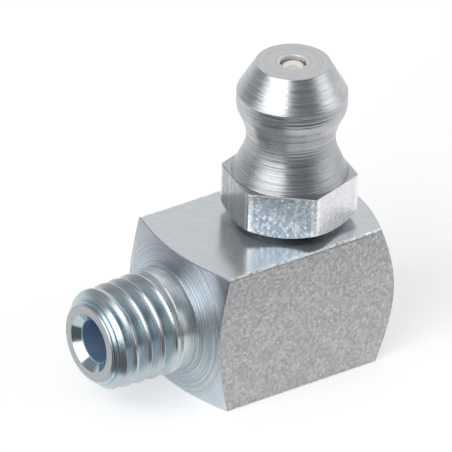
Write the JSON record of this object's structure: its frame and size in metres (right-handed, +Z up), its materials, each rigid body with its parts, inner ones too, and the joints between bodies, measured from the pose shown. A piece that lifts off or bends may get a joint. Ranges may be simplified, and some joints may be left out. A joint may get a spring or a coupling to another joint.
{
  "type": "grease nipple",
  "caption": "Right-angle grease nipple: square-bar elbow body with a taper-threaded stub, and a hexagon-based coupler head with a sprung check ball.",
  "frame": {"origin": "on the elbow's flat underside, straight below the coupler head's axis", "axes": "+Z up along the coupler head's axis, -X along the threaded stub, out of its mouth"},
  "size_m": [0.0188, 0.009, 0.0189],
  "materials": {
    "plated_bar": "zinc plated and blue passivated, satin flats and brighter turned faces",
    "plated_head": "zinc plated and blue passivated, turned, bright",
    "ball_steel": "polished hardened steel",
    "spring_wire": "drawn spring wire"
  },
  "bodies": {
    "fitting": {"elbow_body": "plated_bar", "nipple_head": "plated_head", "ball_spring": "spring_wire"},
    "ball": {"check_ball": "ball_steel"}
  },
  "joints": [
    {"name": "ball_lift", "type": "slide", "parent": "fitting", "child": "ball", "axis": [0, 0, -1], "range_m": [0, 0.0008], "stiffness_N_per_m": 300, "springref_m": -0.001, "deforming": ["ball_spring"]}
  ]
}
